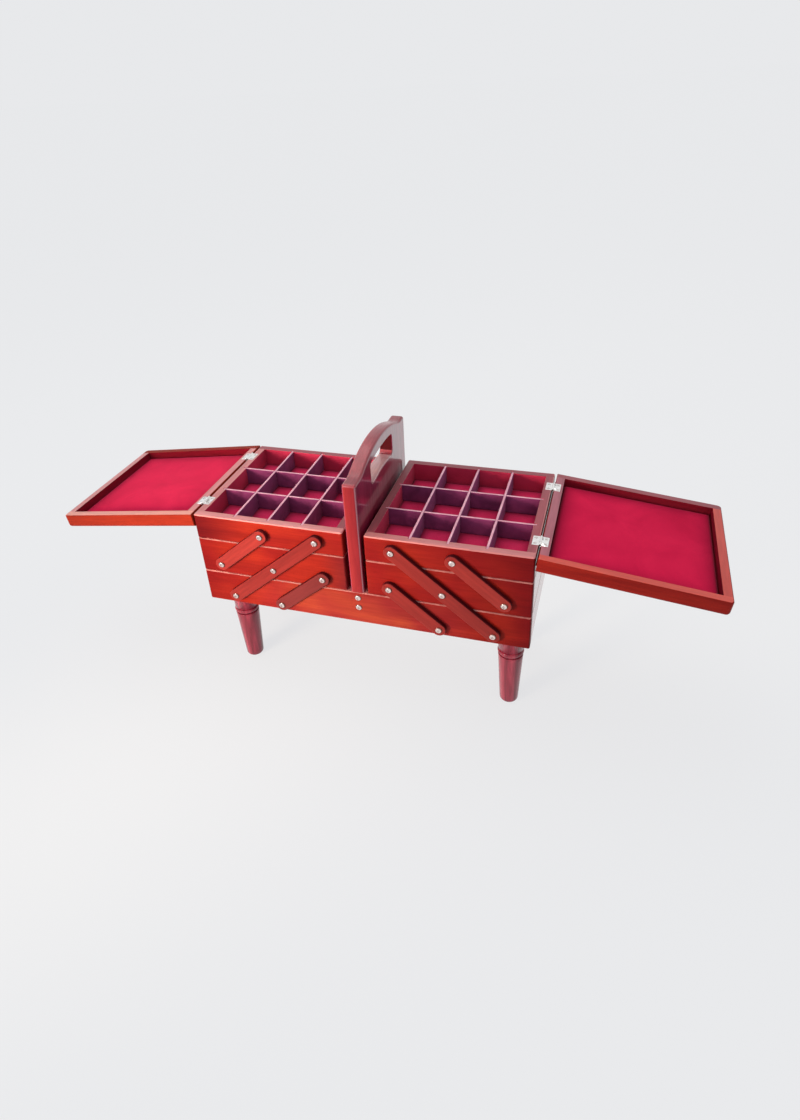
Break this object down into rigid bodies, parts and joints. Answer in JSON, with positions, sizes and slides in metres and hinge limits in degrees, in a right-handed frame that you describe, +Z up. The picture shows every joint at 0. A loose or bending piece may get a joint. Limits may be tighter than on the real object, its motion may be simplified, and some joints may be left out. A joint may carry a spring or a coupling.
{
  "type": "cantilever sewing carrier",
  "caption": "Wooden cantilever sewing carrier on turned legs, with an upright handle board, swing-out trays on flat link arms, divided top trays and fold-back padded lids.",
  "frame": {"origin": "on the floor, under the middle of the base box", "axes": "+X along the box to the right-hand lid, +Y from the front to the back, +Z up"},
  "size_m": [0.7844, 0.2024, 0.3204],
  "materials": {
    "arm_wood": "clear gloss lacquer over cherry-red stain",
    "board_wood": "clear gloss lacquer over burgundy stain",
    "divider_wood": "flocked crimson, with pale worn top edges",
    "hinge_steel": "bright nickel plate",
    "leg_wood": "clear gloss lacquer over burgundy stain",
    "panel_wood": "clear gloss lacquer over cherry-red stain",
    "screw_steel": "polished nickel plate",
    "velvet_lining": "crimson velvet",
    "wall_wood": "clear gloss lacquer over cherry-red stain"
  },
  "bodies": {
    "base": {"base_side_walls": "wall_wood", "base_end_walls": "wall_wood", "base_floor": "panel_wood", "base_lining": "velvet_lining", "base_pivot_screws": "screw_steel", "front_left_leg": "leg_wood", "front_right_leg": "leg_wood", "back_left_leg": "leg_wood", "back_right_leg": "leg_wood", "handle_board": "board_wood", "handle_board_screws": "screw_steel"},
    "right_front_long_arm": {"right_front_long_arm": "arm_wood"},
    "right_front_lower_arm": {"right_front_lower_arm": "arm_wood"},
    "right_front_upper_arm": {"right_front_upper_arm": "arm_wood"},
    "right_back_long_arm": {"right_back_long_arm": "arm_wood"},
    "right_back_lower_arm": {"right_back_lower_arm": "arm_wood"},
    "right_back_upper_arm": {"right_back_upper_arm": "arm_wood"},
    "right_middle_tray": {"right_middle_tray_side_walls": "wall_wood", "right_middle_tray_end_walls": "wall_wood", "right_middle_tray_floor": "panel_wood", "right_middle_tray_lining": "velvet_lining", "right_middle_tray_pivot_screws": "screw_steel"},
    "right_top_tray": {"right_top_tray_side_walls": "wall_wood", "right_top_tray_end_walls": "wall_wood", "right_top_tray_floor": "panel_wood", "right_top_tray_lining": "velvet_lining", "right_top_tray_long_dividers": "divider_wood", "right_top_tray_cross_dividers": "divider_wood", "right_top_tray_pivot_screws": "screw_steel", "right_hinge_tray_leaves": "hinge_steel", "right_hinge_pins": "hinge_steel"},
    "right_lid": {"right_lid_rails": "wall_wood", "right_lid_panel": "panel_wood", "right_lid_lining": "velvet_lining", "right_hinge_lid_leaves": "hinge_steel"},
    "left_front_long_arm": {"left_front_long_arm": "arm_wood"},
    "left_front_lower_arm": {"left_front_lower_arm": "arm_wood"},
    "left_front_upper_arm": {"left_front_upper_arm": "arm_wood"},
    "left_back_long_arm": {"left_back_long_arm": "arm_wood"},
    "left_back_lower_arm": {"left_back_lower_arm": "arm_wood"},
    "left_back_upper_arm": {"left_back_upper_arm": "arm_wood"},
    "left_middle_tray": {"left_middle_tray_side_walls": "wall_wood", "left_middle_tray_end_walls": "wall_wood", "left_middle_tray_floor": "panel_wood", "left_middle_tray_lining": "velvet_lining", "left_middle_tray_pivot_screws": "screw_steel"},
    "left_top_tray": {"left_top_tray_side_walls": "wall_wood", "left_top_tray_end_walls": "wall_wood", "left_top_tray_floor": "panel_wood", "left_top_tray_lining": "velvet_lining", "left_top_tray_long_dividers": "divider_wood", "left_top_tray_cross_dividers": "divider_wood", "left_top_tray_pivot_screws": "screw_steel", "left_hinge_tray_leaves": "hinge_steel", "left_hinge_pins": "hinge_steel"},
    "left_lid": {"left_lid_rails": "wall_wood", "left_lid_panel": "panel_wood", "left_lid_lining": "velvet_lining", "left_hinge_lid_leaves": "hinge_steel"}
  },
  "joints": [
    {"name": "right_fold", "type": "hinge", "parent": "base", "child": "right_front_long_arm", "pos_m": [0.1593, -0.09595, 0.1322], "axis": [0, 1, 0], "range_deg": [0, 100.8]},
    {"name": "right_middle_tray_pivot", "type": "hinge", "parent": "right_front_long_arm", "child": "right_middle_tray", "pos_m": [0.1021, -0.09595, 0.1795], "axis": [0, 1, 0], "range_deg": [-100.9, 0]},
    {"name": "right_top_tray_pivot", "type": "hinge", "parent": "right_front_long_arm", "child": "right_top_tray", "pos_m": [0.0449, -0.09595, 0.2268], "axis": [0, 1, 0], "range_deg": [-100.9, 0]},
    {"name": "right_back_long_arm_pivot", "type": "hinge", "parent": "base", "child": "right_back_long_arm", "pos_m": [0.1593, 0.09595, 0.1322], "axis": [0, 1, 0], "range_deg": [0, 100.9]},
    {"name": "right_front_lower_arm_pivot", "type": "hinge", "parent": "base", "child": "right_front_lower_arm", "pos_m": [0.0975, -0.09595, 0.1291], "axis": [0, 1, 0], "range_deg": [0, 100.9]},
    {"name": "right_front_upper_arm_pivot", "type": "hinge", "parent": "right_middle_tray", "child": "right_front_upper_arm", "pos_m": [0.1707, -0.09595, 0.1775], "axis": [0, 1, 0], "range_deg": [0, 100.9]},
    {"name": "right_back_lower_arm_pivot", "type": "hinge", "parent": "base", "child": "right_back_lower_arm", "pos_m": [0.0975, 0.09595, 0.1291], "axis": [0, 1, 0], "range_deg": [0, 100.9]},
    {"name": "right_back_upper_arm_pivot", "type": "hinge", "parent": "right_middle_tray", "child": "right_back_upper_arm", "pos_m": [0.1707, 0.09595, 0.1775], "axis": [0, 1, 0], "range_deg": [0, 100.9]},
    {"name": "right_lid_hinge", "type": "hinge", "parent": "right_top_tray", "child": "right_lid", "pos_m": [0.2014, 0, 0.24155], "axis": [0, -1, 0], "range_deg": [0, 186.7]},
    {"name": "left_fold", "type": "hinge", "parent": "base", "child": "left_front_long_arm", "pos_m": [-0.1593, -0.09595, 0.1322], "axis": [0, -1, 0], "range_deg": [0, 100.8]},
    {"name": "left_middle_tray_pivot", "type": "hinge", "parent": "left_front_long_arm", "child": "left_middle_tray", "pos_m": [-0.1021, -0.09595, 0.1795], "axis": [0, -1, 0], "range_deg": [-100.9, 0]},
    {"name": "left_top_tray_pivot", "type": "hinge", "parent": "left_front_long_arm", "child": "left_top_tray", "pos_m": [-0.0449, -0.09595, 0.2268], "axis": [0, -1, 0], "range_deg": [-100.9, 0]},
    {"name": "left_back_long_arm_pivot", "type": "hinge", "parent": "base", "child": "left_back_long_arm", "pos_m": [-0.1593, 0.09595, 0.1322], "axis": [0, -1, 0], "range_deg": [0, 100.9]},
    {"name": "left_front_lower_arm_pivot", "type": "hinge", "parent": "base", "child": "left_front_lower_arm", "pos_m": [-0.0975, -0.09595, 0.1291], "axis": [0, -1, 0], "range_deg": [0, 100.9]},
    {"name": "left_front_upper_arm_pivot", "type": "hinge", "parent": "left_middle_tray", "child": "left_front_upper_arm", "pos_m": [-0.1707, -0.09595, 0.1775], "axis": [0, -1, 0], "range_deg": [0, 100.9]},
    {"name": "left_back_lower_arm_pivot", "type": "hinge", "parent": "base", "child": "left_back_lower_arm", "pos_m": [-0.0975, 0.09595, 0.1291], "axis": [0, -1, 0], "range_deg": [0, 100.9]},
    {"name": "left_back_upper_arm_pivot", "type": "hinge", "parent": "left_middle_tray", "child": "left_back_upper_arm", "pos_m": [-0.1707, 0.09595, 0.1775], "axis": [0, -1, 0], "range_deg": [0, 100.9]},
    {"name": "left_lid_hinge", "type": "hinge", "parent": "left_top_tray", "child": "left_lid", "pos_m": [-0.2014, 0, 0.24155], "axis": [0, 1, 0], "range_deg": [0, 188]}
  ],
  "couplings": [
    {"joint": "right_middle_tray_pivot", "follows": "right_fold", "ratio": -1},
    {"joint": "right_top_tray_pivot", "follows": "right_fold", "ratio": -1},
    {"joint": "right_back_long_arm_pivot", "follows": "right_fold", "ratio": 1},
    {"joint": "right_front_lower_arm_pivot", "follows": "right_fold", "ratio": 1},
    {"joint": "right_front_upper_arm_pivot", "follows": "right_fold", "ratio": 1},
    {"joint": "right_back_lower_arm_pivot", "follows": "right_fold", "ratio": 1},
    {"joint": "right_back_upper_arm_pivot", "follows": "right_fold", "ratio": 1},
    {"joint": "left_middle_tray_pivot", "follows": "left_fold", "ratio": -1},
    {"joint": "left_top_tray_pivot", "follows": "left_fold", "ratio": -1},
    {"joint": "left_back_long_arm_pivot", "follows": "left_fold", "ratio": 1},
    {"joint": "left_front_lower_arm_pivot", "follows": "left_fold", "ratio": 1},
    {"joint": "left_front_upper_arm_pivot", "follows": "left_fold", "ratio": 1},
    {"joint": "left_back_lower_arm_pivot", "follows": "left_fold", "ratio": 1},
    {"joint": "left_back_upper_arm_pivot", "follows": "left_fold", "ratio": 1}
  ]
}
